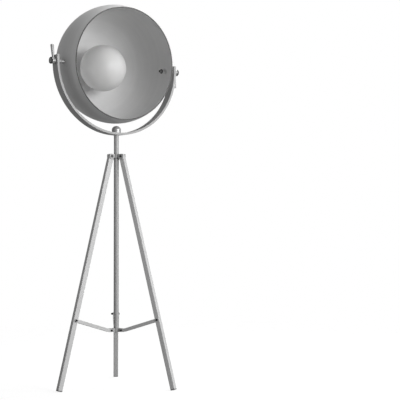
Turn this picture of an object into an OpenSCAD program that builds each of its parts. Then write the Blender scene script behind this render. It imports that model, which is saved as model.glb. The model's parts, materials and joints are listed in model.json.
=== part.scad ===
// Tripod floor lamp: dish shade with an opal globe, carried in a yoke on a folding three-legged stand.
// Origin: on the floor, on the axis of the pole. +Z is up, the dish opens towards -Y,
// and the tilt axis of the dish is parallel to X. Millimetres and degrees.

/* [Stand] */
// Height of the leg hinges above the floor
hinge_height = 940; // [860:5:980]
// Distance of the leg hinges from the pole axis
hinge_radius = 27; // [27:1:30]
// Distance of the foot centres from the pole axis
foot_radius = 262; // [230:2:300]
// Side of the square leg tube
leg_size = 20; // [18:1:20]
// Wall of the leg tube
leg_wall = 1.5; // [1:0.25:2.5]
// Outer corner radius of the leg tube
leg_corner = 2.5; // [2:0.5:4]
// Diameter of the pole
pole_d = 20; // [18:1:20]
// Wall of the pole
pole_wall = 1.5; // [1:0.25:2.5]
// Height of the spreader pivots on the lower hub
hub_height = 230; // [180:5:260]
// Distance of the spreader pivots from the pole axis
hub_pivot_radius = 28; // [27:1:32]
// Height at which the spreader arms meet the legs
spreader_height = 279; // [250:1:330]
// Width of the spreader straps
strap_width = 13; // [12:0.5:15]
// Thickness of the spreader straps
strap_thickness = 2.5; // [2:0.5:3]

/* [Yoke] */
// Height of the tilt axis of the dish
pivot_height = 1308; // [1290:1:1330]
// Outer radius of the yoke
yoke_radius = 280; // [278:1:284]
// Thickness of the yoke bar
yoke_thickness = 9; // [7:0.5:10]
// Width of the yoke bar
yoke_width = 42; // [34:1:46]
// Length of the yoke arms above the tilt axis
arm_rise = 24; // [20:1:30]
// Height of the dome nut above the yoke
dome_height = 28.5; // [24:0.5:28.5]
// Distance from the tilt axis of a clamp to the tip of its lever
lever_reach = 65; // [50:1:80]
// Outward lean of the clamp levers
lever_lean = 2.5; // [0:0.5:10]
// Backward turn of the clamp levers at rest
lever_turn = 5; // [-20:1:20]

/* [Head] */
// Outer radius of the spherical dish
dish_radius = 241.5; // [236:0.5:243]
// Sheet thickness of the dish
dish_wall = 1.5; // [1:0.25:2]
// Distance of the rim plane in front of the tilt axis
rim_forward = 73.5; // [60:0.5:100]
// Distance of the dish centre behind the tilt axis
dish_back = 11; // [0:0.5:12]
// Height of the dish centre above the tilt axis
dish_up = 9.5; // [8:0.5:11]
// Downward tilt of the dish at rest
rest_tilt = 4; // [0:1:10]
// Outer radius of the glass globe
globe_radius = 96; // [85:1:96]
// Distance of the globe centre behind the dish centre; the globe is level with the tilt axis
globe_back = 98; // [90:1:102]
// Wall of the globe
globe_wall = 3; // [2:0.5:4]

/* [Hidden] */

// Smoothness of small round parts and of the large spheres
small = 48;
large = 180;
$fn = small;

// Colours
steel = "#a9a9a7";
dark = "#3a3a3a";
glass = "#ececea";
nylon = "#d8d8d2";

// Radial clearances: turning fit, and fixed fit inside one assembly
run = 0.08;
fixed = 0.05;

// Directions of the legs round the pole
azimuth_a = 180;
azimuth_b = 300;
azimuth_c = 60;
azimuths = [azimuth_a, azimuth_b, azimuth_c];

// Leg axis: from the hinge down to the foot
sole_trim = 1.2;
half_leg = leg_size / 2;
lean = atan((foot_radius - hinge_radius) / (hinge_height - sole_trim));
foot_center_z = half_leg * sin(lean) - sole_trim;
leg_length = (hinge_height - foot_center_z) / cos(lean);
bore_side = leg_size - 2 * leg_wall;
bore_corner = leg_corner - leg_wall;
foot_cap_thickness = 4;
plug_depth = 24;
top_round = half_leg + 0.5;

// Leg hinge on the collar
hinge_bolt_r = 3;
cheek_inner = half_leg + 0.3;
cheek_outer = cheek_inner + 1.7;
bracket_back = 14.2;
bracket_wall = 2;
bracket_front = hinge_radius + 9.5;
bracket_top = 9.5;
bracket_skirt = 7;
bracket_round = 10;
bracket_round_drop = 2.8;
bracket_screw_r = 2;
bracket_screw_z = 3;
bracket_screw_head_r = 3.8;
collar_height = 13.5;
collar_r = 13.5;
pad_width = 14;
lock_azimuth = 120;
lock_r = 3;
lock_head_r = 5.5;
lock_head_length = 8;
lock_grooves = 16;

// Lower hub and spreader arms
hub_r = 13;
hub_block_height = 16;
hub_floor = 4;
lug_half_width = 7.5;
lug_height = 14;
arm_bolt_r = 2.5;
strap_round = strap_width / 2;
strap_inner_hub = lug_half_width + 0.2;
strap_inner_leg = half_leg + 0.4;
strap_kink = hub_pivot_radius + 10;
strap_flare_start = strap_kink + 4;
strap_flare_end = 150;
spreader_distance = (hinge_height - spreader_height) / cos(lean);
spreader_radius = hinge_radius + spreader_distance * sin(lean);
strap_slope = atan((spreader_height - hub_height) / (spreader_radius - strap_kink));
strap_run = (spreader_radius - strap_kink) / cos(strap_slope);
leg_clearance_hole_r = 5.2;

// Fasteners
head_flat = 1.8;
head_high = 2.5;
nut_height = 3.2;
cap_nut_hex = 4;
socket_r = 1.8;
socket_depth = 1.2;

// Pole
pole_r = pole_d / 2;
pole_bore_r = pole_r - pole_wall;
yoke_bottom = pivot_height - yoke_radius;
yoke_inner = yoke_radius - yoke_thickness;
washer_thickness = 2;
washer_r = 12;
top_flange = 4;
pole_top = yoke_bottom - washer_thickness - top_flange;
pole_bottom = hub_height - hub_block_height / 2 + hub_floor;
stud_r = 5;
stud_top = yoke_bottom + yoke_thickness + 18;
end_screw_r = 3;

// Dome nut
dome_r = 18.5;
dome_ball_r = 19.5;
dome_bore_top = stud_top + 1;

// Tilt pivots and clamps
pivot_bolt_r = 4;
bush_r = 6;
bush_flange_r = 9.5;
bush_flange = 1.5;
bush_seat_gap = 0.25;
spacer_r = 8;
pivot_washer = 1.5;
pivot_nut_length = 18.5;
pivot_nut_r = 9;
pivot_washer_r = 10;
pivot_end_inner = 210;
barrel_gap = 0.3;
barrel_r = 12.5;
barrel_start = yoke_radius + barrel_gap;
barrel_end = 295.5;
boss_r = 8.5;
boss_end = 300.5;
ring_r = 13.5;
ring_end = 301;
ring_chamfer = 1.5;
pivot_end_outer = 292;
lever_x = 287;
lever_stub_r = 4;
lever_root_r = 6;
lever_tip_r = 7;
lever_stub_start = 6.5;
lever_tip_chamfer = 1;

// Dish and what is on its axis; depths are measured back from the dish centre
dish_inner = dish_radius - dish_wall;
rim_depth = rim_forward + dish_back;
rim_r = sqrt(dish_radius * dish_radius - rim_depth * rim_depth);
bead_r = 1.8;
nipple_r = 5;
nipple_bore_r = 4.2;
neck_r = 40;
neck_length = 12;
neck_start = globe_back + sqrt(globe_radius * globe_radius - neck_r * neck_r) - 1;
neck_end = neck_start + neck_length;
gallery_inner_r = neck_r + 1.5;
gallery_r = gallery_inner_r + 1.5;
gallery_floor = neck_end + 1;
gallery_back = gallery_floor + 2;
gallery_depth = 12;
gallery_screw_r = 1.5;
gallery_screw_head_r = 3;
stem_r = 12;
holder_r = 20;
holder_front = gallery_floor - 50;
holder_floor = gallery_floor - 22;
nipple_front = gallery_floor - 6;
nut_length = 6;
cap_r = 32;
cap_wall = 1.5;
cap_end = dish_radius + 26;
nipple_back = cap_end + 8;
gland_r = 9;
gland_length = 16;
gland_bore_r = 3.25;
bulb_r = 30;
bulb_center = holder_front - 45;
bulb_base_r = 13.6;
holder_bore_r = bulb_base_r + fixed;
bulb_neck_r = 24;
bulb_gap = 0.5;
bulb_wall = 1.2;

// ---------- helpers ----------

// Places its children in the frame of one leg: X outward from the pole, Y round it
module at_azimuth(angle) {
    rotate([0, 0, angle]) children();
}

// Frame on the leg axis: origin at the hinge, -Z along the leg, +X outward
module on_leg(angle) {
    at_azimuth(angle)
    translate([hinge_radius, 0, hinge_height])
    rotate([0, -lean, 0])
    children();
}

// Cylinder along Y, centred on the origin
module cross_pin(r, length) {
    rotate([90, 0, 0]) cylinder(r = r, h = length, center = true);
}

// Square outline with round corners, centred
module round_square(side, corner) {
    straight = side - 2 * corner;
    square([side, straight], center = true);
    square([straight, side], center = true);
    for (x = [-1, 1], y = [-1, 1])
        translate([x * straight / 2, y * straight / 2]) circle(corner);
}

// Extrudes a side view, drawn in (radius, height), to a plate of the given width across Y
module side_plate(y_low, y_high) {
    translate([0, y_high, 0]) rotate([90, 0, 0]) linear_extrude(y_high - y_low) children();
}

// Bolt along Y with a round socket head on its -Y end; the nut is a part of its own
module cross_bolt(r, half_grip, head_r, head_h, tail) {
    difference() {
        union() {
            translate([0, half_grip + tail, 0])
            rotate([90, 0, 0]) cylinder(r = r, h = 2 * half_grip + tail);
            translate([0, -half_grip, 0])
            rotate([90, 0, 0]) cylinder(r1 = head_r, r2 = head_r - 0.6, h = head_h);
        }
        translate([0, -half_grip - head_h + socket_depth, 0])
        rotate([90, 0, 0]) cylinder(r = socket_r, h = socket_depth + 1, $fn = 6);
    }
}

// Hexagon nut along Y with its inner face at half_grip
module cross_nut(r, half_grip, nut_r) {
    translate([0, half_grip + nut_height, 0])
    rotate([90, 0, 0])
    difference() {
        cylinder(r = nut_r, h = nut_height, $fn = 6);
        translate([0, 0, -1]) cylinder(r = r + fixed, h = nut_height + 2);
    }
}

// Domed cap nut along Y with its inner face at half_grip
module cap_nut(r, half_grip, nut_r) {
    dome = 0.85 * nut_r;
    translate([0, half_grip, 0])
    rotate([-90, 0, 0])
    difference() {
        union() {
            cylinder(r = nut_r, h = cap_nut_hex, $fn = 6);
            translate([0, 0, dome + 0.2]) sphere(dome);
        }
        translate([0, 0, -1]) cylinder(r = r + fixed, h = cap_nut_hex + 2);
    }
}

// Frame of the tilting head: origin on the tilt axis, -Y out of the dish
module in_head() {
    translate([0, 0, pivot_height]) rotate([rest_tilt, 0, 0]) children();
}

// Axis of the dish: origin at the dish centre, +Z pointing to the back
module on_dish_axis() {
    in_head()
    translate([0, dish_back, dish_up])
    rotate([-90, 0, 0])
    children();
}

// Axis of the lamp fittings: parallel to the dish axis and level with the tilt axis
module on_lamp_axis() {
    in_head()
    translate([0, dish_back, 0])
    rotate([-90, 0, 0])
    children();
}

// Side of the lamp: 1 for +X, -1 for -X. +Z of the children points outward along the tilt axis
module on_pivot(side) {
    in_head() rotate([0, side * 90, 0]) children();
}

// The same axis, fixed to the yoke and not tilted with the dish
module on_arm(side) {
    translate([0, 0, pivot_height]) rotate([0, side * 90, 0]) children();
}

// ---------- centre column ----------

module pole() {
    color(steel)
    translate([0, 0, pole_bottom])
    difference() {
        cylinder(r = pole_r, h = pole_top - pole_bottom);
        translate([0, 0, -1]) cylinder(r = pole_bore_r, h = pole_top - pole_bottom + 2);
    }
}

module pole_top_plug() {
    color(steel) {
        translate([0, 0, pole_top]) cylinder(r = pole_r, h = top_flange);
        translate([0, 0, pole_top - plug_depth])
        cylinder(r = pole_bore_r - fixed, h = plug_depth + 1);
        translate([0, 0, pole_top + 1]) cylinder(r = stud_r, h = stud_top - pole_top - 1);
    }
}

module pole_bottom_plug() {
    color(steel)
    translate([0, 0, pole_bottom])
    difference() {
        cylinder(r = pole_bore_r - fixed, h = plug_depth);
        translate([0, 0, -1]) cylinder(r = end_screw_r + fixed, h = plug_depth - 3);
    }
}

module lower_hub() {
    base = hub_height - hub_block_height / 2;
    color(steel)
    difference() {
        union() {
            translate([0, 0, base]) cylinder(r = hub_r, h = hub_block_height);
            for (a = azimuths)
                at_azimuth(a) side_plate(-lug_half_width, lug_half_width) lug_outline();
        }
        translate([0, 0, pole_bottom]) cylinder(r = pole_r + fixed, h = hub_block_height);
        translate([0, 0, base - 1]) cylinder(r = end_screw_r + fixed, h = hub_block_height);
        for (a = azimuths)
            at_azimuth(a)
            translate([hub_pivot_radius, 0, hub_height])
            cross_pin(arm_bolt_r + fixed, 4 * lug_half_width);
    }
}

module lug_outline() {
    translate([pole_r + 1, hub_height - lug_height / 2])
    square([hub_pivot_radius - pole_r - 1, lug_height]);
    translate([hub_pivot_radius, hub_height]) circle(lug_height / 2);
}

module hub_end_screw() {
    base = hub_height - hub_block_height / 2;
    head_r = 5.5;
    color(dark)
    difference() {
        union() {
            translate([0, 0, base - head_high]) cylinder(r1 = head_r - 0.6, r2 = head_r, h = head_high);
            translate([0, 0, base - 1]) cylinder(r = end_screw_r, h = hub_floor + 17);
        }
        translate([0, 0, base - head_high - 1]) cylinder(r = socket_r, h = socket_depth + 1, $fn = 6);
    }
}

module hub_bolts() {
    color(dark)
    for (a = azimuths)
        at_azimuth(a)
        translate([hub_pivot_radius, 0, hub_height])
        cross_bolt(arm_bolt_r, strap_inner_hub + strap_thickness + 0.2, 4.5, head_high, nut_height + 1);
}

module hub_nuts() {
    color(dark)
    for (a = azimuths)
        at_azimuth(a)
        translate([hub_pivot_radius, 0, hub_height])
        cross_nut(arm_bolt_r, strap_inner_hub + strap_thickness + 0.2, 4.6);
}

// ---------- sliding collar ----------

module top_collar() {
    color(steel)
    difference() {
        union() {
            translate([0, 0, hinge_height - collar_height / 2])
            cylinder(r = collar_r, h = collar_height);
            for (a = azimuths)
                at_azimuth(a)
                translate([pole_r, -pad_width / 2, hinge_height - collar_height / 2])
                cube([bracket_back - pole_r, pad_width, collar_height]);
        }
        translate([0, 0, hinge_height - collar_height])
        cylinder(r = pole_r + run, h = 2 * collar_height);
        for (a = azimuths)
            at_azimuth(a)
            translate([pole_r - 1, 0, hinge_height + bracket_screw_z])
            rotate([0, 90, 0]) cylinder(r = bracket_screw_r + fixed, h = collar_r);
        at_azimuth(lock_azimuth)
        translate([pole_r - 1, 0, hinge_height])
        rotate([0, 90, 0]) cylinder(r = lock_r + fixed, h = collar_r);
    }
}

module bracket_outline() {
    translate([bracket_back, hinge_height - bracket_skirt])
    square([bracket_wall, bracket_skirt + bracket_top]);
    translate([bracket_back, hinge_height - bracket_round_drop])
    square([bracket_front - bracket_back, bracket_round_drop + bracket_top]);
    translate([bracket_front - bracket_round, hinge_height - bracket_round_drop])
    circle(bracket_round);
}

module leg_bracket(angle) {
    color(steel)
    at_azimuth(angle)
    difference() {
        side_plate(-cheek_outer, cheek_outer) bracket_outline();
        translate([bracket_back + bracket_wall, -cheek_inner, hinge_height - 50])
        cube([50, 2 * cheek_inner, 100]);
        translate([hinge_radius, 0, hinge_height]) cross_pin(hinge_bolt_r + fixed, 4 * cheek_outer);
        translate([bracket_back - 1, 0, hinge_height + bracket_screw_z])
        rotate([0, 90, 0]) cylinder(r = bracket_screw_r + fixed, h = bracket_wall + 2);
        translate([bracket_back + 0.2, 0, hinge_height + bracket_screw_z])
        rotate([0, 90, 0])
        cylinder(r1 = bracket_screw_r, r2 = bracket_screw_head_r, h = bracket_wall - 0.2);
    }
}

module bracket_screws() {
    color(dark)
    for (a = azimuths)
        at_azimuth(a)
        translate([bracket_back + 0.25, 0, hinge_height + bracket_screw_z])
        rotate([0, 90, 0]) {
            cylinder(r1 = bracket_screw_r - 0.05, r2 = bracket_screw_head_r - 0.05,
                h = bracket_wall - 0.3);
            translate([0, 0, -3.5]) cylinder(r = bracket_screw_r, h = 4);
        }
}

module collar_lock_screw() {
    head_start = collar_r + 0.5;
    color(steel)
    at_azimuth(lock_azimuth)
    translate([0, 0, hinge_height])
    rotate([0, 90, 0])
    difference() {
        union() {
            translate([0, 0, pole_r + 0.15]) cylinder(r = lock_r, h = 6);
            translate([0, 0, head_start]) cylinder(r = lock_head_r, h = lock_head_length);
        }
        for (i = [0 : lock_grooves - 1])
            rotate([0, 0, i * 360 / lock_grooves])
            translate([lock_head_r + 0.2, 0, head_start - 1])
            cylinder(r = 0.7, h = lock_head_length + 2, $fn = 16);
    }
}

module hinge_bolts() {
    color(dark)
    for (a = azimuths)
        at_azimuth(a)
        translate([hinge_radius, 0, hinge_height])
        cross_bolt(hinge_bolt_r, cheek_outer, 4.8, head_flat, nut_height + 0.8);
}

module hinge_nuts() {
    color(dark)
    for (a = azimuths)
        at_azimuth(a)
        translate([hinge_radius, 0, hinge_height])
        cross_nut(hinge_bolt_r, cheek_outer, 5.4);
}

// ---------- legs ----------

// Everything below the rounded leg top
module below_leg_top(r) {
    translate([-50, -50, -leg_length]) cube([100, 100, leg_length]);
    cross_pin(r, 100);
}

module leg(angle) {
    tube_length = leg_length - foot_cap_thickness;
    color(steel)
    on_leg(angle)
    difference() {
        intersection() {
            translate([0, 0, -tube_length])
            linear_extrude(tube_length + 2 * top_round) round_square(leg_size, leg_corner);
            below_leg_top(top_round);
        }
        translate([0, 0, -tube_length - 1])
        linear_extrude(tube_length + 3 * top_round) round_square(bore_side, bore_corner);
        cross_pin(hinge_bolt_r + run, 2 * leg_size);
        translate([0, 0, -spreader_distance]) cross_pin(leg_clearance_hole_r, 2 * leg_size);
    }
}

module leg_plug(angle) {
    color(nylon)
    on_leg(angle)
    difference() {
        intersection() {
            translate([0, 0, -plug_depth])
            linear_extrude(plug_depth + 2 * top_round)
            round_square(bore_side - 2 * fixed, bore_corner);
            below_leg_top(top_round);
        }
        cross_pin(hinge_bolt_r + run, 2 * leg_size);
    }
}

module foot(angle) {
    color(dark)
    difference() {
        on_leg(angle)
        translate([0, 0, -leg_length]) {
            linear_extrude(foot_cap_thickness) round_square(leg_size, leg_corner);
            translate([0, 0, foot_cap_thickness - 1])
            linear_extrude(plug_depth) round_square(bore_side - 2 * fixed, bore_corner);
        }
        translate([-2 * foot_radius, -2 * foot_radius, -20])
        cube([4 * foot_radius, 4 * foot_radius, 20]);
    }
}

// ---------- spreader arms ----------

// Side view of a strap: level at the hub, then sloping up to the leg
module strap_outline() {
    translate([hub_pivot_radius, hub_height - strap_round])
    square([strap_kink - hub_pivot_radius, strap_width]);
    translate([hub_pivot_radius, hub_height]) circle(strap_round);
    translate([strap_kink, hub_height]) {
        circle(strap_round);
        rotate(strap_slope) {
            translate([0, -strap_round]) square([strap_run, strap_width]);
            translate([strap_run, 0]) circle(strap_round);
        }
    }
}

// Top view of one strap: it flares from the narrow lug to the wider leg
module strap_plan() {
    start = hub_pivot_radius - 2 * strap_round;
    end = spreader_radius + 2 * strap_round;
    polygon([
        [start, strap_inner_hub],
        [strap_flare_start, strap_inner_hub],
        [strap_flare_end, strap_inner_leg],
        [end, strap_inner_leg],
        [end, strap_inner_leg + strap_thickness],
        [strap_flare_end, strap_inner_leg + strap_thickness],
        [strap_flare_start, strap_inner_hub + strap_thickness],
        [start, strap_inner_hub + strap_thickness]
    ]);
}

module spreader(angle) {
    color(steel)
    at_azimuth(angle)
    for (side = [0, 1])
        mirror([0, side, 0])
        difference() {
            intersection() {
                side_plate(0, 2 * leg_size) strap_outline();
                translate([0, 0, hub_height - leg_size])
                linear_extrude(spreader_height - hub_height + 2 * leg_size) strap_plan();
            }
            translate([hub_pivot_radius, 0, hub_height]) cross_pin(arm_bolt_r + run, 4 * leg_size);
            translate([spreader_radius, 0, spreader_height])
            cross_pin(arm_bolt_r + fixed, 4 * leg_size);
        }
}

module spreader_bolt(angle) {
    grip = strap_inner_leg + strap_thickness;
    color(dark)
    at_azimuth(angle)
    translate([spreader_radius, 0, spreader_height]) {
        cross_bolt(arm_bolt_r, grip, 4.8, head_high, nut_height + 0.8);
        cap_nut(arm_bolt_r, grip, 4.8);
    }
}

// ---------- yoke ----------

// Front view of the yoke's inner or outer edge: lower half circle with straight arms
module u_outline(r) {
    intersection() {
        union() {
            circle(r, $fn = large);
            translate([-r, 0]) square([2 * r, arm_rise]);
        }
        translate([-2 * r, -2 * r]) square([4 * r, 2 * r + arm_rise]);
    }
}

module yoke() {
    color(steel)
    translate([0, 0, pivot_height])
    difference() {
        rotate([90, 0, 0])
        linear_extrude(yoke_width, center = true)
        difference() {
            u_outline(yoke_radius);
            translate([0, 0.001]) u_outline(yoke_inner);
            translate([-yoke_inner, arm_rise - 1]) square([2 * yoke_inner, 3]);
        }
        rotate([0, 90, 0]) cylinder(r = bush_r + fixed, h = 4 * yoke_radius, center = true);
        translate([0, 0, -yoke_radius - 5]) cylinder(r = stud_r + run, h = 20);
    }
}

module dome_nut() {
    seat = pivot_height - yoke_inner;
    color(steel)
    difference() {
        intersection() {
            translate([0, 0, seat]) cylinder(r = dome_r, h = dome_height);
            translate([0, 0, seat + dome_height - dome_ball_r]) {
                sphere(dome_ball_r);
                translate([0, 0, -dome_height]) cylinder(r = dome_r + 1, h = dome_height);
            }
            translate([0, 0, pivot_height])
            rotate([90, 0, 0]) cylinder(r = yoke_inner, h = 100, center = true, $fn = large);
        }
        translate([0, 0, seat - 1]) cylinder(r = stud_r + run, h = dome_bore_top - seat + 1);
    }
}

module swivel_washer() {
    color(nylon)
    translate([0, 0, yoke_bottom - washer_thickness])
    difference() {
        cylinder(r = washer_r, h = washer_thickness - fixed);
        translate([0, 0, -1]) cylinder(r = stud_r + run, h = washer_thickness + 2);
    }
}

module yoke_bush(side) {
    color(nylon)
    on_arm(side)
    translate([0, 0, yoke_inner - bush_flange])
    difference() {
        union() {
            cylinder(r = bush_flange_r, h = bush_flange - bush_seat_gap);
            cylinder(r = bush_r, h = bush_flange + yoke_thickness);
        }
        translate([0, 0, -1]) cylinder(r = pivot_bolt_r + run, h = yoke_thickness + bush_flange + 2);
    }
}

// ---------- dish ----------

module dish_sphere(r) {
    in_head() translate([0, dish_back, dish_up]) sphere(r, $fn = large);
}

module shade() {
    color(steel)
    difference() {
        on_dish_axis() rotate_extrude($fn = large) dish_profile();
        on_lamp_axis() cylinder(r = nipple_r + fixed, h = 2 * dish_radius);
        on_pivot(1) cylinder(r = pivot_bolt_r + fixed, h = 4 * dish_radius, center = true);
    }
}

// Half section of the dish through its axis, open at the front, with a rolled bead along the rim
module dish_profile() {
    intersection() {
        difference() {
            circle(dish_radius, $fn = large);
            circle(dish_inner, $fn = large);
        }
        translate([0, -rim_depth]) square([dish_radius, 2 * dish_radius]);
    }
    translate([rim_r - dish_wall / 2 - 0.5, -rim_depth]) circle(bead_r, $fn = 32);
}

module pivot_spacer(side) {
    spacer_end = yoke_inner - bush_flange - 0.15;
    color(steel)
    difference() {
        on_pivot(side)
        translate([0, 0, dish_inner]) cylinder(r = spacer_r, h = spacer_end - dish_inner);
        dish_sphere(dish_radius);
        on_pivot(side) cylinder(r = pivot_bolt_r + fixed, h = 2 * dish_radius);
    }
}

module pivot_bolt(side) {
    color(steel)
    on_pivot(side)
    translate([0, 0, pivot_end_inner])
    cylinder(r = pivot_bolt_r, h = pivot_end_outer - pivot_end_inner);
}

module pivot_nut(side) {
    washer_start = dish_inner - 3;
    color(steel)
    difference() {
        intersection() {
            on_pivot(side) {
                translate([0, 0, washer_start]) cylinder(r = pivot_washer_r, h = 5);
                translate([0, 0, washer_start - pivot_nut_length])
                cylinder(r = pivot_nut_r, h = pivot_nut_length + 1);
            }
            dish_sphere(dish_inner);
        }
        on_pivot(side) cylinder(r = pivot_bolt_r + fixed, h = 2 * dish_radius);
    }
}

// ---------- lamp fittings ----------

module rear_cap() {
    color(steel)
    difference() {
        on_lamp_axis()
        difference() {
            union() {
                translate([0, 0, dish_radius - 5]) cylinder(r = cap_r, h = cap_end - dish_radius + 1);
                translate([0, 0, cap_end - 4]) cylinder(r1 = cap_r, r2 = cap_r - 4, h = 4);
            }
            translate([0, 0, dish_radius - 8])
            cylinder(r = cap_r - cap_wall, h = cap_end - dish_radius + 4 - cap_wall);
            translate([0, 0, cap_end - 4 - cap_wall])
            cylinder(r1 = cap_r - cap_wall, r2 = cap_r - 4 - cap_wall, h = 4);
            cylinder(r = nipple_r + fixed, h = 2 * dish_radius);
        }
        dish_sphere(dish_radius);
    }
}

module nipple() {
    color(steel)
    on_lamp_axis()
    translate([0, 0, nipple_front])
    difference() {
        cylinder(r = nipple_r, h = nipple_back - nipple_front);
        translate([0, 0, -1]) cylinder(r = nipple_bore_r, h = nipple_back - nipple_front + 2);
    }
}

module nipple_nut() {
    washer_height = 3;
    color(dark)
    on_lamp_axis()
    translate([0, 0, dish_radius + 0.05])
    difference() {
        union() {
            cylinder(r = 12, h = washer_height);
            cylinder(r = 9.5, h = washer_height + nut_length, $fn = 6);
        }
        translate([0, 0, -1]) cylinder(r = nipple_r + fixed, h = washer_height + nut_length + 2);
    }
}

module stem() {
    color(steel)
    difference() {
        intersection() {
            on_lamp_axis()
            translate([0, 0, gallery_back]) cylinder(r = stem_r, h = dish_radius - gallery_back);
            dish_sphere(dish_inner);
        }
        on_lamp_axis() cylinder(r = nipple_r + fixed, h = 2 * dish_radius);
    }
}

module gallery() {
    color(steel)
    on_lamp_axis()
    difference() {
        translate([0, 0, gallery_back - gallery_depth]) cylinder(r = gallery_r, h = gallery_depth);
        translate([0, 0, gallery_floor - gallery_depth - 5])
        cylinder(r = gallery_inner_r, h = gallery_depth + 5);
        cylinder(r = nipple_r + fixed, h = 2 * dish_radius);
        for (i = [0 : 2])
            rotate([0, 0, 90 + i * 120])
            translate([0, 0, gallery_back - gallery_depth + 4])
            rotate([0, 90, 0]) cylinder(r = gallery_screw_r + fixed, h = 2 * gallery_r, $fn = 24);
    }
}

module gallery_screws() {
    color(steel)
    on_lamp_axis()
    for (i = [0 : 2])
        rotate([0, 0, 90 + i * 120])
        translate([0, 0, gallery_back - gallery_depth + 4])
        rotate([0, 90, 0]) {
            translate([0, 0, neck_r + 0.1]) cylinder(r = gallery_screw_r, h = 5, $fn = 24);
            translate([0, 0, gallery_r + 0.6]) cylinder(r = gallery_screw_head_r, h = 4, $fn = 24);
        }
}

module lampholder() {
    color(dark)
    on_lamp_axis()
    difference() {
        union() {
            translate([0, 0, holder_front]) cylinder(r = holder_r, h = gallery_floor - holder_front - 8);
            translate([0, 0, gallery_floor - 9]) cylinder(r1 = holder_r, r2 = 12, h = 9);
        }
        translate([0, 0, holder_front - 1])
        cylinder(r = holder_bore_r, h = holder_floor - holder_front + 1);
        translate([0, 0, nipple_front - 2]) cylinder(r = nipple_r + fixed, h = 20);
    }
}

module bulb_base() {
    color(steel)
    on_lamp_axis() {
        translate([0, 0, holder_front - bulb_gap]) cylinder(r = bulb_base_r, h = 20 + bulb_gap);
        translate([0, 0, holder_front + 20]) cylinder(r1 = bulb_base_r, r2 = 5, h = 5);
    }
}

module bulb() {
    neck_length = holder_front - bulb_gap - bulb_center;
    color(glass)
    on_lamp_axis()
    difference() {
        bulb_form(bulb_r, bulb_neck_r, bulb_base_r, neck_length, 0);
        bulb_form(bulb_r - bulb_wall, bulb_neck_r - bulb_wall, bulb_base_r - bulb_wall, neck_length, 1);
    }
}

// Ball with a conical neck towards the lampholder
module bulb_form(ball_r, neck_front_r, neck_back_r, neck_length, cut_past) {
    neck_offset = 17;
    translate([0, 0, bulb_center]) {
        sphere(ball_r, $fn = 72);
        translate([0, 0, neck_offset])
        cylinder(r1 = neck_front_r, r2 = neck_back_r, h = neck_length - neck_offset);
        if (cut_past > 0)
            translate([0, 0, neck_length - 0.5]) cylinder(r = neck_back_r, h = 0.5 + cut_past);
    }
}

module globe() {
    color(glass)
    on_lamp_axis()
    difference() {
        union() {
            translate([0, 0, globe_back]) sphere(globe_radius, $fn = 120);
            translate([0, 0, neck_start - 5]) cylinder(r = neck_r, h = neck_end - neck_start + 5);
        }
        translate([0, 0, globe_back]) sphere(globe_radius - globe_wall, $fn = 120);
        translate([0, 0, globe_back]) cylinder(r = neck_r - globe_wall, h = 2 * globe_radius);
    }
}

module cable_gland() {
    color(dark)
    on_lamp_axis()
    translate([0, 0, cap_end])
    difference() {
        union() {
            cylinder(r = gland_r, h = gland_length - 5);
            translate([0, 0, gland_length - 5]) cylinder(r1 = gland_r, r2 = gland_r - 3, h = 5);
        }
        translate([0, 0, -1]) cylinder(r = nipple_r + fixed, h = nipple_back - cap_end + 1.3);
        cylinder(r = gland_bore_r, h = gland_length + 1);
    }
}

// ---------- clamp levers ----------

// Lever direction: up on the left clamp, down on the right clamp, turned a little to the back
module on_lever(side) {
    translate([side * lever_x, 0, pivot_height])
    rotate([side < 0 ? -lever_turn : 180 + lever_turn, 0, 0])
    rotate([0, side * lever_lean, 0])
    children();
}

module clamp_barrel(side) {
    color(steel)
    difference() {
        on_arm(side) {
            translate([0, 0, barrel_start]) cylinder(r = barrel_r, h = barrel_end - barrel_start);
            translate([0, 0, barrel_end - 1]) cylinder(r = boss_r, h = boss_end - barrel_end + 1);
        }
        on_arm(side)
        translate([0, 0, barrel_start - 1])
        cylinder(r = pivot_bolt_r + run, h = pivot_end_outer - barrel_start + 2);
        on_lever(side)
        translate([0, 0, lever_stub_start]) cylinder(r = lever_stub_r + fixed, h = barrel_r);
    }
}

module clamp_lever(side) {
    color(steel)
    on_lever(side) {
        translate([0, 0, lever_stub_start + 0.3]) cylinder(r = lever_stub_r, h = barrel_r);
        translate([0, 0, barrel_r + 0.3])
        cylinder(r1 = lever_root_r, r2 = lever_tip_r, h = lever_reach - barrel_r - 0.3 - lever_tip_chamfer);
        translate([0, 0, lever_reach - lever_tip_chamfer])
        cylinder(r1 = lever_tip_r, r2 = lever_tip_r - lever_tip_chamfer, h = lever_tip_chamfer);
    }
}

module clamp_ring(side) {
    color(dark)
    on_arm(side)
    translate([0, 0, barrel_end])
    difference() {
        union() {
            cylinder(r = ring_r, h = ring_end - barrel_end - ring_chamfer);
            translate([0, 0, ring_end - barrel_end - ring_chamfer])
            cylinder(r1 = ring_r, r2 = ring_r - ring_chamfer, h = ring_chamfer);
        }
        translate([0, 0, -1]) cylinder(r = boss_r + fixed, h = ring_end);
    }
}

// ---------- nodes ----------

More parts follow.
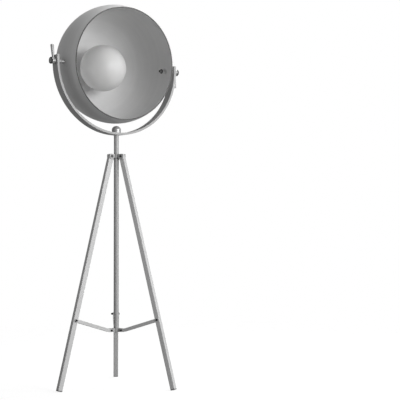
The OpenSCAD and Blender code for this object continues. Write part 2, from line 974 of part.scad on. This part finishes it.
pole();
pole_top_plug();
pole_bottom_plug();
lower_hub();
hub_end_screw();
hub_bolts();
hub_nuts();
top_collar();
leg_bracket(azimuth_a);  // leg_bracket_a
leg_bracket(azimuth_b);  // leg_bracket_b
leg_bracket(azimuth_c);  // leg_bracket_c
bracket_screws();
collar_lock_screw();
hinge_bolts();
hinge_nuts();
leg(azimuth_a);  // leg_a
leg(azimuth_b);  // leg_b
leg(azimuth_c);  // leg_c
leg_plug(azimuth_a);  // leg_plug_a
leg_plug(azimuth_b);  // leg_plug_b
leg_plug(azimuth_c);  // leg_plug_c
foot(azimuth_a);  // foot_a
foot(azimuth_b);  // foot_b
foot(azimuth_c);  // foot_c
spreader(azimuth_a);  // spreader_a
spreader(azimuth_b);  // spreader_b
spreader(azimuth_c);  // spreader_c
spreader_bolt(azimuth_a);  // spreader_bolt_a
spreader_bolt(azimuth_b);  // spreader_bolt_b
spreader_bolt(azimuth_c);  // spreader_bolt_c
yoke();
dome_nut();
swivel_washer();
yoke_bush(-1);  // yoke_bush_left
yoke_bush(1);  // yoke_bush_right
shade();
pivot_spacer(-1);  // pivot_spacer_left
pivot_spacer(1);  // pivot_spacer_right
pivot_bolt(-1);  // pivot_bolt_left
pivot_bolt(1);  // pivot_bolt_right
pivot_nut(-1);  // pivot_nut_left
pivot_nut(1);  // pivot_nut_right
rear_cap();
nipple();
nipple_nut();
stem();
gallery();
gallery_screws();
lampholder();
bulb_base();
bulb();
globe();
cable_gland();
clamp_barrel(-1);  // clamp_barrel_left
clamp_barrel(1);  // clamp_barrel_right
clamp_lever(-1);  // clamp_lever_left
clamp_lever(1);  // clamp_lever_right
clamp_ring(-1);  // clamp_ring_left
clamp_ring(1);  // clamp_ring_right
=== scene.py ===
import json
import math

import bmesh
import bpy
from mathutils import Matrix, Vector


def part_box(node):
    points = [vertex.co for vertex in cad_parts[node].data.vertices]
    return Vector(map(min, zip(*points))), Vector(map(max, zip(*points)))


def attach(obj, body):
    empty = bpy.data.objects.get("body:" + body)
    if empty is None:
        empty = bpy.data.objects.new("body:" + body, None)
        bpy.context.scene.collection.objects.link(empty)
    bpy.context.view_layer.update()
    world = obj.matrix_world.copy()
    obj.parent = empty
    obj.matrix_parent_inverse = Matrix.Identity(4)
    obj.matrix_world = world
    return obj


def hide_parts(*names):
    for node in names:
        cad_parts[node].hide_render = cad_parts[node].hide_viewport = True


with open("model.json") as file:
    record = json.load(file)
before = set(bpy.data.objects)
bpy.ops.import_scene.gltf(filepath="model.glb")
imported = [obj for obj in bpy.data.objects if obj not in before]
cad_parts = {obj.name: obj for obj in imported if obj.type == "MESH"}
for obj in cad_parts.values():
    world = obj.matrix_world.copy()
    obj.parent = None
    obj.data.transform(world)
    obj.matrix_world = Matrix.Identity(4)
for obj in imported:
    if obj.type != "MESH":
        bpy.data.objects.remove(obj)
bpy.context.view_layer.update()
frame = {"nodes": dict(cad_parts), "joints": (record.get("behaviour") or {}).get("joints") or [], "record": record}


# ---------- camera, light and floor ----------

FOCAL_MM = 92.7
SENSOR_MM = 36.0
EYE_DISTANCE = 4.223
EYE_RIGHT = 0.343
EYE_HEIGHT = 0.667
EYE_AZIMUTH = math.radians(-35.15)
SHIFT_UP = 0.058
FLOOR_GLOW = 0.82
FLOOR_TONE = 0.22
FLOOR_FADE_START = 0.7
FLOOR_FADE_END = 3.0
FLOOR_BELOW_ZERO = 0.0005
WORLD_LOW = -0.5
WORLD_HIGH = 0.7


def add_camera():
    """Looks level at the lamp, which stands left of the middle of the picture."""
    forward = Vector((-math.sin(EYE_AZIMUTH), math.cos(EYE_AZIMUTH), 0))
    right = Vector((math.cos(EYE_AZIMUTH), math.sin(EYE_AZIMUTH), 0))
    data = bpy.data.cameras.new("camera")
    data.lens = FOCAL_MM
    data.sensor_width = SENSOR_MM
    data.shift_y = SHIFT_UP
    data.clip_start = 0.05
    data.clip_end = 200
    eye = bpy.data.objects.new("camera", data)
    eye.location = -EYE_DISTANCE * forward + EYE_RIGHT * right + Vector((0, 0, EYE_HEIGHT))
    eye.rotation_mode = "QUATERNION"
    eye.rotation_quaternion = forward.to_track_quat("-Z", "Y")
    bpy.context.scene.collection.objects.link(eye)
    bpy.context.scene.camera = eye


def add_area_light(name, place, aim, size, power):
    data = bpy.data.lights.new(name, "AREA")
    data.shape = "DISK"
    data.size = size
    data.energy = power
    lamp = bpy.data.objects.new(name, data)
    lamp.location = place
    lamp.rotation_mode = "QUATERNION"
    lamp.rotation_quaternion = (Vector(aim) - Vector(place)).to_track_quat("-Z", "Y")
    bpy.context.scene.collection.objects.link(lamp)


def add_world(above, below, backdrop):
    """Soft fill that is a little stronger from below than from above, and a plain white backdrop."""
    world = bpy.data.worlds.new("studio")
    bpy.context.scene.world = world
    world.use_nodes = True
    tree = world.node_tree
    tree.nodes.clear()
    coord = tree.nodes.new("ShaderNodeTexCoord")
    split = tree.nodes.new("ShaderNodeSeparateXYZ")
    height = tree.nodes.new("ShaderNodeMapRange")
    height.interpolation_type = "SMOOTHSTEP"
    height.inputs["From Min"].default_value = WORLD_LOW
    height.inputs["From Max"].default_value = WORLD_HIGH
    height.inputs["To Min"].default_value = below
    height.inputs["To Max"].default_value = above
    path = tree.nodes.new("ShaderNodeLightPath")
    seen = tree.nodes.new("ShaderNodeBackground")
    seen.inputs["Color"].default_value = (1, 1, 1, 1)
    seen.inputs["Strength"].default_value = backdrop
    light = tree.nodes.new("ShaderNodeBackground")
    light.inputs["Color"].default_value = (1, 1, 1, 1)
    mix = tree.nodes.new("ShaderNodeMixShader")
    out = tree.nodes.new("ShaderNodeOutputWorld")
    tree.links.new(coord.outputs["Generated"], split.inputs[0])
    tree.links.new(split.outputs["Z"], height.inputs["Value"])
    tree.links.new(height.outputs["Result"], light.inputs["Strength"])
    tree.links.new(path.outputs["Is Camera Ray"], mix.inputs["Fac"])
    tree.links.new(light.outputs[0], mix.inputs[1])
    tree.links.new(seen.outputs[0], mix.inputs[2])
    tree.links.new(mix.outputs[0], out.inputs["Surface"])


def add_floor():
    """Pale floor that melts into the backdrop a few metres out."""
    radius, rings, sides = 6.0, 24, 96
    verts = [(0, 0, 0)]
    for i in range(1, rings + 1):
        for k in range(sides):
            a = 2 * math.pi * k / sides
            verts.append((radius * i / rings * math.cos(a), radius * i / rings * math.sin(a), 0))
    faces = [(0, 1 + k, 1 + (k + 1) % sides) for k in range(sides)]
    for i in range(rings - 1):
        for k in range(sides):
            a, b = 1 + i * sides + k, 1 + i * sides + (k + 1) % sides
            faces.append((a, a + sides, b + sides, b))
    mesh = bpy.data.meshes.new("floor")
    mesh.from_pydata(verts, [], faces)
    floor = bpy.data.objects.new("floor", mesh)
    floor.location.z = -FLOOR_BELOW_ZERO
    bpy.context.scene.collection.objects.link(floor)
    material = bpy.data.materials.new("floor")
    material.use_nodes = True
    tree = material.node_tree
    tree.nodes.clear()
    out = tree.nodes.new("ShaderNodeOutputMaterial")
    coord = tree.nodes.new("ShaderNodeTexCoord")
    length = tree.nodes.new("ShaderNodeVectorMath")
    length.operation = "LENGTH"
    fade = tree.nodes.new("ShaderNodeMapRange")
    fade.interpolation_type = "SMOOTHSTEP"
    fade.inputs["From Min"].default_value = FLOOR_FADE_START
    fade.inputs["From Max"].default_value = FLOOR_FADE_END
    diffuse = tree.nodes.new("ShaderNodeBsdfDiffuse")
    diffuse.inputs["Color"].default_value = (FLOOR_TONE, FLOOR_TONE, FLOOR_TONE, 1)
    glow = tree.nodes.new("ShaderNodeEmission")
    glow.inputs["Color"].default_value = (1, 1, 1, 1)
    both = tree.nodes.new("ShaderNodeAddShader")
    clear = tree.nodes.new("ShaderNodeBsdfTransparent")
    mix = tree.nodes.new("ShaderNodeMixShader")
    path = tree.nodes.new("ShaderNodeLightPath")
    bright = tree.nodes.new("ShaderNodeMath")
    bright.operation = "MULTIPLY"
    bright.inputs[1].default_value = FLOOR_GLOW
    tree.links.new(path.outputs["Is Camera Ray"], bright.inputs[0])
    tree.links.new(bright.outputs[0], glow.inputs["Strength"])
    tree.links.new(coord.outputs["Object"], length.inputs[0])
    tree.links.new(length.outputs["Value"], fade.inputs["Value"])
    tree.links.new(diffuse.outputs[0], both.inputs[0])
    tree.links.new(glow.outputs[0], both.inputs[1])
    tree.links.new(fade.outputs["Result"], mix.inputs["Fac"])
    tree.links.new(both.outputs[0], mix.inputs[1])
    tree.links.new(clear.outputs[0], mix.inputs[2])
    tree.links.new(mix.outputs[0], out.inputs["Surface"])
    mesh.materials.append(material)


# ---------- materials ----------

REST_TILT = math.radians(4)
DISH_WALL = 0.0015
RIM_DEPTH = 0.0845
RIM_BEAD = 0.0018
OUTER_PAINTED_SHADE = 0.84
RIM_PAINTED_SHADE = 0.16
DISH_BACKWARD = Vector((0, math.cos(REST_TILT), math.sin(REST_TILT)))


class Shader:
    """A Principled material being put together, with object-space noise to draw on."""

    def __init__(self, name):
        self.material = bpy.data.materials.new(name)
        self.material.use_nodes = True
        self.tree = self.material.node_tree
        self.bsdf = self.tree.nodes["Principled BSDF"]
        self.coord = self.tree.nodes.new("ShaderNodeTexCoord")

    def set(self, values):
        for key, value in values.items():
            self.bsdf.inputs[key].default_value = value

    def node(self, kind, **values):
        made = self.tree.nodes.new("ShaderNode" + kind)
        for key, value in values.items():
            setattr(made, key, value)
        return made

    def link(self, a, b):
        self.tree.links.new(a, b)

    def noise(self, scale, detail=3.0, stretch=(1, 1, 1), vector=None):
        mapping = self.node("Mapping")
        mapping.inputs["Scale"].default_value = stretch
        self.link(vector or self.coord.outputs["Object"], mapping.inputs["Vector"])
        made = self.node("TexNoise")
        made.inputs["Scale"].default_value = scale
        made.inputs["Detail"].default_value = detail
        self.link(mapping.outputs[0], made.inputs["Vector"])
        return made.outputs["Fac"]

    def ramp(self, value, low, high, start=0.3, end=0.7):
        made = self.node("ValToRGB")
        made.color_ramp.elements[0].position = start
        made.color_ramp.elements[0].color = (*low, 1)
        made.color_ramp.elements[1].position = end
        made.color_ramp.elements[1].color = (*high, 1)
        self.link(value, made.inputs["Fac"])
        return made.outputs["Color"]

    def spread(self, value, low, high, start=0.3, end=0.7):
        made = self.node("MapRange")
        made.inputs["From Min"].default_value = start
        made.inputs["From Max"].default_value = end
        made.inputs["To Min"].default_value = low
        made.inputs["To Max"].default_value = high
        self.link(value, made.inputs["Value"])
        return made.outputs["Result"]

    def edges(self, radius):
        """(rounded normal, wear mask): 1 on convex and concave edges, 0 on flats."""
        bevel = self.node("Bevel", samples=4)
        bevel.inputs["Radius"].default_value = radius
        geometry = self.node("NewGeometry")
        dot = self.node("VectorMath", operation="DOT_PRODUCT")
        self.link(bevel.outputs[0], dot.inputs[0])
        self.link(geometry.outputs["Normal"], dot.inputs[1])
        return bevel.outputs[0], self.spread(dot.outputs["Value"], 1, 0, 0.85, 0.99)

    def mix(self, mask, a, b):
        made = self.node("Mix", data_type="RGBA")
        self.link(mask, made.inputs["Factor"])
        for value, socket in ((a, made.inputs[6]), (b, made.inputs[7])):
            if isinstance(value, tuple):
                socket.default_value = (*value, 1)
            else:
                self.link(value, socket)
        return made.outputs[2]

    def multiply(self, a, b):
        made = self.node("Mix", data_type="RGBA", blend_type="MULTIPLY")
        made.inputs["Factor"].default_value = 1
        self.link(a, made.inputs[6])
        self.link(b, made.inputs[7])
        return made.outputs[2]

    def bump(self, height, strength, distance, normal=None):
        made = self.node("Bump")
        made.inputs["Strength"].default_value = strength
        made.inputs["Distance"].default_value = distance
        self.link(height, made.inputs["Height"])
        if normal is not None:
            self.link(normal, made.inputs["Normal"])
        return made.outputs[0]

    def finish(self, color=None, roughness=None, normal=None):
        for value, key in ((color, "Base Color"), (roughness, "Roughness"), (normal, "Normal")):
            if value is not None:
                self.link(value, self.bsdf.inputs[key])
        return self.material


def gray(level, warm=0.0):
    return (level, level * (1 - warm), level * (1 - 2 * warm))


def coated_metal(name, level, rough, wear=0.10):
    """Satin powder coat on steel: fine orange peel, slight mottling, edges rubbed lighter."""
    s = Shader(name)
    s.set({"Metallic": 0.0, "Coat Weight": 0.08, "Coat Roughness": 0.3})
    normal, edge = s.edges(0.0007)
    mottle = s.ramp(s.noise(9, 4), gray(level * 0.95), gray(level * 1.05))
    rubbed = s.node("Math", operation="MULTIPLY")
    s.link(edge, rubbed.inputs[0])
    s.link(s.spread(s.noise(60, 4), 0, 1, 0.42, 0.62), rubbed.inputs[1])
    color = s.mix(rubbed.outputs[0], mottle, gray(min(1, level + wear)))
    peel = s.bump(s.noise(900, 2), 0.12, 0.0004, normal)
    return s.finish(color, s.spread(s.noise(25, 5), rough - 0.06, rough + 0.08), peel)


def turned_metal(name, level, rough, axis="X"):
    """Turned steel with fine tool rings along its axis and a satin sheen."""
    s = Shader(name)
    s.set({"Metallic": 0.4})
    normal, edge = s.edges(0.0005)
    stretch = {"X": (1, 0.02, 0.02), "Y": (0.02, 1, 0.02), "Z": (0.02, 0.02, 1)}[axis]
    rings = s.noise(2600, 2, stretch)
    mottle = s.ramp(s.noise(30, 4), gray(level * 0.94), gray(level * 1.05))
    color = s.mix(edge, mottle, gray(min(1, level * 1.15)))
    return s.finish(color, s.spread(rings, rough - 0.05, rough + 0.1), s.bump(rings, 0.15, 0.0003, normal))


def spun_metal(name, level, rough):
    """Spun sheet with rings round the axis; the outer face is painted greyer than the inner face, and the rolled
    rim painted dark, as painted shade.
    """
    s = Shader(name)
    s.set({"Metallic": 0.15})
    normal, _ = s.edges(0.0006)
    along_axis = s.node("VectorMath", operation="DOT_PRODUCT")
    along_axis.inputs[1].default_value = DISH_BACKWARD
    s.link(s.coord.outputs["Object"], along_axis.inputs[0])
    line = s.node("CombineXYZ")
    s.link(along_axis.outputs["Value"], line.inputs["X"])
    rings = s.noise(900, 3, vector=line.outputs[0])
    broad = s.noise(45, 3, vector=line.outputs[0])
    color = s.ramp(broad, gray(level * 0.97), gray(level * 1.03))
    color = s.multiply(color, s.ramp(s.noise(7, 5), gray(0.96), gray(1.03)))
    _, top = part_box("shade")
    radius = top.x
    centre = Vector((0, top.y - radius, top.z - radius))
    reach = s.node("VectorMath", operation="DISTANCE")
    reach.inputs[1].default_value = centre
    s.link(s.coord.outputs["Object"], reach.inputs[0])
    # Painted shade: the outer face of the sheet is darkened below the inner face, so the inside of the dish reads
    # lighter.
    outside = s.spread(reach.outputs["Value"], 0, 1, radius - 0.6 * DISH_WALL, radius - 0.4 * DISH_WALL)
    color = s.multiply(color, s.ramp(outside, gray(1), gray(OUTER_PAINTED_SHADE), 0, 1))
    # Painted shade: the rolled rim bead is darkened to take out the light it catches.
    rim = centre.dot(DISH_BACKWARD) - RIM_DEPTH
    rim_painted_shade = s.spread(along_axis.outputs["Value"], 1, 0, rim + RIM_BEAD, rim + 1.2 * RIM_BEAD)
    color = s.multiply(color, s.ramp(rim_painted_shade, gray(1), gray(RIM_PAINTED_SHADE), 0, 1))
    rough_mix = s.spread(rings, rough - 0.05, rough + 0.07)
    return s.finish(color, rough_mix, s.bump(rings, 0.10, 0.0003, normal))


def black_oxide(name):
    """Blackened steel fasteners with an oily sheen and slightly worn edges."""
    s = Shader(name)
    s.set({"Metallic": 0.5})
    normal, edge = s.edges(0.0004)
    tone = s.ramp(s.noise(120, 4), gray(0.022), gray(0.05))
    color = s.mix(edge, tone, gray(0.07))
    return s.finish(color, s.spread(s.noise(200, 3), 0.32, 0.5),
                    s.bump(s.noise(1500, 2), 0.15, 0.0002, normal))


def moulded(name, level, rough, grain=700, warm=0.0):
    """Moulded plastic or rubber with a fine spark-eroded grain."""
    s = Shader(name)
    s.set({"Specular IOR Level": 0.3})
    normal, edge = s.edges(0.0006)
    tone = s.ramp(s.noise(40, 4), gray(level * 0.92, warm), gray(level * 1.08, warm))
    color = s.mix(edge, tone, gray(level * 1.25, warm))
    return s.finish(color, s.spread(s.noise(90, 3), rough - 0.06, rough + 0.06),
                    s.bump(s.noise(grain, 2), 0.25, 0.0004, normal))


def brass(name):
    s = Shader(name)
    s.set({"Metallic": 1.0})
    tone = s.ramp(s.noise(50, 4), (0.60, 0.45, 0.20), (0.74, 0.58, 0.28))
    return s.finish(tone, s.spread(s.noise(150, 3), 0.25, 0.4), s.bump(s.noise(1200, 2), 0.1, 0.0002))


def opal_glass(name, level, rough):
    """Opal glass: milky body with a soft gloss, faint waviness and slight cloudiness."""
    s = Shader(name)
    s.set({"IOR": 1.45, "Specular IOR Level": 0.35, "Coat Weight": 0.08, "Coat Roughness": 0.3,
           "Subsurface Weight": 0.4, "Subsurface Radius": (0.03, 0.03, 0.03), "Subsurface Scale": 1.0})
    cloud = s.ramp(s.noise(14, 4), gray(level * 0.975, 0.004), gray(level * 1.01, 0.002))
    return s.finish(cloud, s.spread(s.noise(30, 3), rough - 0.04, rough + 0.06),
                    s.bump(s.noise(16, 2), 0.05, 0.001))


def make_materials():
    return {
        # Stand, leg and yoke metal are one grey finish at three levels: the pole and yoke painted darker and the
        # legs painted lighter, as painted shade and painted light.
        "stand_metal": coated_metal("stand_metal", 0.31, 0.42),
        "leg_metal": coated_metal("leg_metal", 0.45, 0.42),
        "yoke_metal": coated_metal("yoke_metal", 0.29, 0.42),
        "dish_metal": spun_metal("dish_metal", 0.64, 0.42),
        "bright_metal": turned_metal("bright_metal", 0.34, 0.34),
        "dark_metal": black_oxide("dark_metal"),
        "brass_thread": brass("brass_thread"),
        "nylon": moulded("nylon", 0.62, 0.5, warm=0.01),
        "holder_plastic": moulded("holder_plastic", 0.018, 0.5),
        "foot_rubber": moulded("foot_rubber", 0.14, 0.65, grain=420),
        "opal_glass": opal_glass("opal_glass", 0.63, 0.42),
        "bulb_glass": opal_glass("bulb_glass", 0.9, 0.35),
    }


def dress_cad_nodes(materials):
    for part in frame["record"]["subparts"]:
        node = frame["nodes"][part["node"]]
        node.data.materials.clear()
        node.data.materials.append(materials[part["material_slot"]])


# ---------- mesh helpers ----------

TINY = 1e-6
MM = 0.001
SHARP_ANGLE = math.radians(34)


def along(origin, axis):
    """Matrix that puts local +Z along axis, starting at origin."""
    return Matrix.Translation(origin) @ Vector(axis).to_track_quat("Z", "Y").to_matrix().to_4x4()


def rounded(outline, radius, closed=False, steps=4):
    """The outline with each corner eased by a short curve of about that radius."""
    eased = []
    for i, point in enumerate(outline):
        if not closed and i in (0, len(outline) - 1):
            eased.append(point)
            continue
        corner = Vector(point)
        to_last = Vector(outline[i - 1]) - corner
        to_next = Vector(outline[(i + 1) % len(outline)]) - corner
        start = corner + to_last.normalized() * min(radius, 0.45 * to_last.length)
        end = corner + to_next.normalized() * min(radius, 0.45 * to_next.length)
        for k in range(steps + 1):
            t = k / steps
            eased.append(tuple((1 - t) ** 2 * start + 2 * t * (1 - t) * corner + t * t * end))
    return eased


def turn(bm, profile, place, sides=48, closed=False, form=None):
    """Adds a solid turned round local Z from (radius, height) points in mm.
    form(radius, height, angle) may vary the radius, for knurls, flats and threads."""
    rings = []
    for radius, height in profile:
        if radius < TINY:
            rings.append([bm.verts.new(place @ Vector((0, 0, height * MM)))])
            continue
        ring = []
        for k in range(sides):
            angle = 2 * math.pi * k / sides
            r = form(radius, height, angle) if form else radius
            point = Vector((r * math.cos(angle), r * math.sin(angle), height)) * MM
            ring.append(bm.verts.new(place @ point))
        rings.append(ring)
    pairs = list(zip(rings, rings[1:]))
    if closed:
        pairs.append((rings[-1], rings[0]))
    for low, high in pairs:
        for k in range(sides):
            j = (k + 1) % sides
            corners = (low[k % len(low)], low[j % len(low)], high[j % len(high)], high[k % len(high)])
            bm.faces.new(list(dict.fromkeys(corners)))


def hexagon(size):
    """Form with six flats; size is the radius over the corners, in mm."""
    def form(radius, height, angle):
        flat = size * math.cos(math.pi / 6) / math.cos((angle % (math.pi / 3)) - math.pi / 6)
        return min(radius, flat)
    return form


def knurl(teeth, depth, outer):
    """Form with straight teeth on the surfaces near the outer radius."""
    def form(radius, height, angle):
        if radius < outer - 1.2:
            return radius
        return radius - depth * (0.5 - 0.5 * math.cos(teeth * angle))
    return form


def thread(pitch, depth, core, start, end):
    """Form with a screw thread between two heights."""
    def form(radius, height, angle):
        if radius < core or not start <= height <= end:
            return radius
        phase = (height / pitch - angle / (2 * math.pi)) % 1
        return radius - depth * abs(2 * phase - 1)
    return form


def add_piece(name, bm, material, body, slot, *nodes):
    """Finishes the mesh as an object that rides on a body and stands for the CAD nodes."""
    bmesh.ops.recalc_face_normals(bm, faces=bm.faces)
    mesh = bpy.data.meshes.new(name)
    bm.to_mesh(mesh)
    bm.free()
    mesh.shade_smooth()
    mesh.set_sharp_from_angle(angle=SHARP_ANGLE)
    mesh.materials.append(material)
    piece = bpy.data.objects.new(name, mesh)
    bpy.context.scene.collection.objects.link(piece)
    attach(piece, body)
    if nodes:
        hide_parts(*nodes)
    return piece


def joint_place(name):
    """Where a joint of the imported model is, in metres."""
    return Vector(next(joint["pos_m"] for joint in frame["joints"] if joint["name"] == name))


# ---------- tilt pivots and clamps ----------

LEVER_LEAN = math.radians(2.5)
LEVER_TURN = math.radians(5)
LEVER_X = 0.287
RING_TEETH = 36


def pivot_point():
    """Middle of the tilt axis of the dish."""
    return joint_place("dish_tilt")


def lever_direction(side):
    """Up on the left clamp and down on the right one, turned a little to the back."""
    upright = math.cos(LEVER_LEAN)
    return Vector((side * math.sin(LEVER_LEAN), math.sin(LEVER_TURN) * upright,
                   -side * math.cos(LEVER_TURN) * upright))


def clamp_lever(materials, side, name):
    bm = bmesh.new()
    profile = rounded([(0, 7), (3.9, 7), (3.9, 12.2), (6.4, 12.7), (6.4, 14.6), (5.2, 15.6), (4.9, 18),
                       (5.4, 26), (6.4, 46), (6.9, 58.4), (6.5, 58.9), (6.5, 59.9), (6.9, 60.4), (7, 63.6),
                       (5.6, 65), (0, 65)], 0.9)
    place = along(pivot_point() + Vector((side * LEVER_X, 0, 0)), lever_direction(side))
    turn(bm, profile, place, sides=40)
    add_piece("clamp_lever_" + name + "_turned", bm, materials["bright_metal"], "clamp_" + name,
              "bright_metal", "clamp_lever_" + name)


def clamp_barrel(materials, side, name):
    """Barrel with a groove, stepped boss and a hexagon socket in its end."""
    bm = bmesh.new()
    outside = rounded([(4.1, 280.3), (11.4, 280.3), (12.5, 281.4), (12.5, 286.9), (12.1, 287.3),
                       (12.1, 288.2), (12.5, 288.6), (12.5, 294.4), (11.4, 295.5), (8.5, 295.5),
                       (8.5, 299.7), (7.7, 300.5), (4.3, 300.5)], 0.4)
    socket = [(3.8, 300.0), (3.8, 296.2), (0, 296.2)]
    flats = hexagon(3.8)
    place = along(pivot_point(), (side, 0, 0))
    turn(bm, [(0, 292.2), (4.1, 292.2)] + outside + socket, place, sides=48,
         form=lambda radius, height, angle: (flats(radius, height, angle)
                                             if radius < 3.9 and height > 296 else radius))
    add_piece("clamp_barrel_" + name + "_turned", bm, materials["bright_metal"], "clamp_" + name,
              "bright_metal", "clamp_barrel_" + name)


def clamp_ring(materials, side, name):
    bm = bmesh.new()
    profile = rounded([(8.55, 295.5), (13.1, 295.5), (13.5, 295.9), (13.5, 299.4), (12.0, 301), (9.6, 301),
                       (8.55, 300.2)], 0.3, closed=True, steps=2)
    turn(bm, profile, along(pivot_point(), (side, 0, 0)), sides=4 * RING_TEETH, closed=True,
         form=knurl(RING_TEETH, 0.45, 13.5))
    add_piece("clamp_ring_" + name + "_knurled", bm, materials["dark_metal"], "clamp_" + name,
              "dark_metal", "clamp_ring_" + name)


def pivot_bolt(materials, side, name):
    """Bolt through the dish wall, threaded inside the dish, with a black cap on its end."""
    start, thread_end, end, pitch, samples = 210.5, 222.0, 292.0, 1.25, 6
    place = along(pivot_point(), (side, 0, 0))
    bm = bmesh.new()
    rings = int((thread_end - start) / pitch * samples)
    profile = [(0, start), (3.1, start), (3.9, start + 0.7)]
    profile += [(4.0, start + 0.9 + (thread_end - start - 0.9) * i / rings) for i in range(rings + 1)]
    profile += [(4.0, end - 0.6), (3.4, end), (0, end)]
    turn(bm, profile, place, sides=24, form=thread(pitch, 0.55, 3.95, start + 0.8, thread_end))
    add_piece("pivot_bolt_" + name + "_threaded", bm, materials["bright_metal"], "shade", "bright_metal",
              "pivot_bolt_" + name)
    bm = bmesh.new()
    cap = rounded([(0, 209.6), (4.1, 209.6), (4.9, 210.4), (4.9, 212), (4.3, 212.4), (3.2, 212.4)], 0.6)
    turn(bm, cap + [(3.2, 211), (0, 211)], place, sides=32)
    add_piece("pivot_bolt_cap_" + name, bm, materials["holder_plastic"], "shade", "holder_plastic")


def pivot_nut(materials, side, name):
    """Flanged hexagon nut inside the dish, on a washer, with a black locking ring round its inner end."""
    place = along(pivot_point(), (side, 0, 0))
    bm = bmesh.new()
    nut = rounded([(4.05, 218.6), (5.55, 218.6), (5.55, 221.8), (7.6, 221.8), (8.6, 222.8), (8.6, 233.6),
                   (9.4, 234.4), (9.4, 235.8), (4.05, 235.8)], 0.3, closed=True, steps=2)
    flats = hexagon(8.7)
    turn(bm, nut, place, sides=48, closed=True,
         form=lambda radius, height, angle: (flats(radius, height, angle)
                                             if 7.2 < radius and height < 234 else radius))
    washer = rounded([(4.05, 236.1), (9.6, 236.1), (10, 236.5), (10, 239.4), (4.05, 239.4)], 0.3,
                     closed=True, steps=2)
    turn(bm, washer, place, closed=True)
    # The nut and washer take the dish's pale inner paint, as painted light where they stand in shade.
    add_piece("pivot_nut_" + name + "_flanged", bm, materials["dish_metal"], "shade", "dish_metal",
              "pivot_nut_" + name)
    bm = bmesh.new()
    ring = rounded([(5.6, 217.6), (8.9, 217.6), (9.6, 218.3), (9.6, 221.2), (8.9, 221.8), (5.6, 221.8)], 0.4,
                   closed=True)
    turn(bm, ring, place, sides=48, closed=True)
    add_piece("pivot_locking_ring_" + name, bm, materials["holder_plastic"], "shade", "holder_plastic")


def pivot_spacer(materials, side, name):
    """Spacer between dish and yoke with a bead at each end."""
    bm = bmesh.new()
    profile = rounded([(4.1, 240.2), (8, 240.2), (8, 243.6), (7.5, 244.1), (7.5, 264.6), (8, 265.1),
                       (8, 269.3), (4.1, 269.3)], 0.3, closed=True, steps=2)
    turn(bm, profile, along(pivot_point(), (side, 0, 0)), closed=True)
    add_piece("pivot_spacer_" + name + "_beaded", bm, materials["bright_metal"], "shade", "bright_metal",
              "pivot_spacer_" + name)


# ---------- rear of the dish ----------

GLAND_BACK = 0.2785


def cable_gland(materials):
    """Screwed cable gland: hexagon foot, grooved body and a ribbed dome nut."""
    place = along(pivot_point() + GLAND_BACK * DISH_BACKWARD, DISH_BACKWARD)
    bm = bmesh.new()
    foot = rounded([(5.1, 0.1), (8.4, 0.1), (9, 0.6), (9, 4.6), (8.4, 5.2), (5.1, 5.2)], 0.25,
                   closed=True, steps=2)
    turn(bm, foot, place, closed=True, form=hexagon(9))
    dome = rounded([(5.1, 5.2), (7.2, 5.2), (7.2, 6.0), (8.7, 6.4), (8.7, 11.2), (6.2, 15.4), (5.2, 16),
                    (3.3, 16), (3.3, 13)], 0.5, closed=True, steps=3)

    def ribs(radius, height, angle):
        if radius < 6 or height < 6.2:
            return radius
        return radius - 0.5 * (0.5 - 0.5 * math.cos(18 * angle)) ** 2
    turn(bm, dome, place, sides=108, closed=True, form=ribs)
    add_piece("cable_gland_ribbed", bm, materials["holder_plastic"], "shade", "holder_plastic",
              "cable_gland")


# ---------- feet ----------

FOOT_REACH = 0.262
SOLE_HEIGHT = 0.00123
FLOOR_NORMAL = Vector((0, 0, 1))


def rounded_square(half, corner, steps=5):
    """Outline of a square with round corners, as points."""
    points = []
    for quarter in range(4):
        turned = Matrix.Rotation(quarter * math.pi / 2, 2)
        for k in range(steps + 1):
            a = math.pi / 2 * k / steps
            inset = half - corner
            points.append(turned @ Vector((inset + corner * math.cos(a), inset + corner * math.sin(a))))
    return points


def foot_cap(materials, letter):
    """Rubber cap with a swollen rim, a groove and a plug up the tube, cut level with the floor."""
    hinge = joint_place("leg_" + letter + "_fold")
    outward = Vector((hinge.x, hinge.y, 0)).normalized()
    sole = outward * FOOT_REACH + Vector((0, 0, SOLE_HEIGHT))
    up = (hinge - sole).normalized()
    side = FLOOR_NORMAL.cross(outward)
    place = Matrix.Translation(sole) @ Matrix((side.cross(up), side, up)).transposed().to_4x4()
    bm = bmesh.new()
    rings = []
    for half, height in rounded([(9.0, 0), (10, 0.9), (10, 3.1), (9.5, 3.5), (9.5, 4), (8.4, 4), (8.4, 12),
                                 (7.6, 14)], 0.35):
        rings.append([bm.verts.new(place @ (Vector((x, y, height)) * MM))
                      for x, y in rounded_square(half, 2.5)])
    for low, high in zip(rings, rings[1:]):
        for k in range(len(low)):
            j = (k + 1) % len(low)
            bm.faces.new((low[k], low[j], high[j], high[k]))
    bm.faces.new(list(reversed(rings[0])))
    bm.faces.new(rings[-1])
    bmesh.ops.bisect_plane(bm, geom=bm.verts[:] + bm.edges[:] + bm.faces[:], plane_co=(0, 0, 0),
                           plane_no=FLOOR_NORMAL, clear_inner=True)
    bmesh.ops.holes_fill(bm, edges=[edge for edge in bm.edges if edge.is_boundary], sides=0)
    add_piece("foot_cap_" + letter, bm, materials["foot_rubber"], "leg_" + letter, "foot_rubber",
              "foot_" + letter)


add_camera()
up = Vector((0, 0, 1))
middle = Vector((0, 0, 0.8))
add_area_light("key", (3.6, -3.1, 2.6), middle, 2.2, 85)
add_area_light("mouth", (1.0, -5.2, 1.7), middle + 0.45 * up, 2.6, 225)
add_area_light("top", (1.4, 0.3, 4.0), middle + 0.5 * up, 2.0, 72)
add_world(above=0.34, below=0.42, backdrop=1.0)
add_floor()
bpy.context.scene.view_settings.view_transform = "Standard"
bpy.context.scene.view_settings.look = "None"

materials = make_materials()
dress_cad_nodes(materials)
for side, name in ((-1, "left"), (1, "right")):
    clamp_lever(materials, side, name)
    clamp_barrel(materials, side, name)
    clamp_ring(materials, side, name)
    pivot_bolt(materials, side, name)
    pivot_nut(materials, side, name)
    pivot_spacer(materials, side, name)
cable_gland(materials)
for letter in "abc":
    foot_cap(materials, letter)
